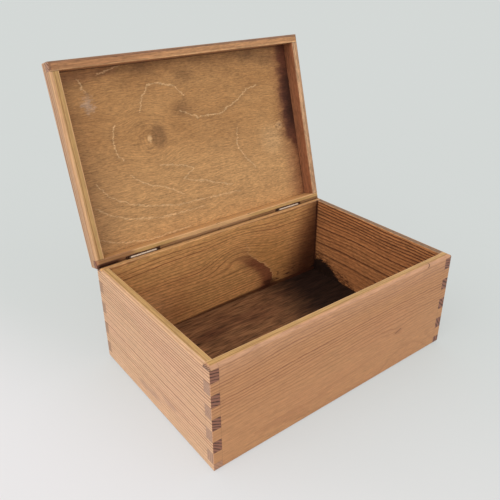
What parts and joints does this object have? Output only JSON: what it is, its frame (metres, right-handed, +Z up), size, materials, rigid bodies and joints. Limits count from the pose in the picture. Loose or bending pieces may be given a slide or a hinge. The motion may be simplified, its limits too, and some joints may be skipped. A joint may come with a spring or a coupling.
{
  "type": "hinged lid wooden box",
  "caption": "Rectangular stained wooden box with finger-jointed corners, plywood bottom and a shallow framed lid hinged along the back edge, standing open.",
  "frame": {"origin": "on the table, under the middle of the box's own rectangle (the open lid reaches further back)", "axes": "+Z up, +Y from the front wall to the hinge side, +X along the hinges to the right wall"},
  "size_m": [0.3, 0.2668, 0.2994],
  "materials": {
    "stained_pine": "satin",
    "stained_plywood": "satin",
    "dark_plywood": "satin",
    "hinge_metal": "satin",
    "pin_steel": "satin"
  },
  "bodies": {
    "box": {"front_wall": "stained_pine", "back_wall": "stained_pine", "left_wall": "stained_pine", "right_wall": "stained_pine", "bottom_panel": "dark_plywood", "left_hinge_box_leaf": "hinge_metal", "left_hinge_pin": "pin_steel", "right_hinge_box_leaf": "hinge_metal", "right_hinge_pin": "pin_steel"},
    "lid": {"lid_front_rail": "stained_pine", "lid_back_rail": "stained_pine", "lid_left_rail": "stained_pine", "lid_right_rail": "stained_pine", "lid_panel": "stained_plywood", "left_hinge_lid_leaf": "hinge_metal", "right_hinge_lid_leaf": "hinge_metal"}
  },
  "joints": [
    {"name": "lid_hinge", "type": "hinge", "parent": "box", "child": "lid", "pos_m": [0, 0.0977, 0.10925], "axis": [1, 0, 0], "range_deg": [0, 105]}
  ]
}
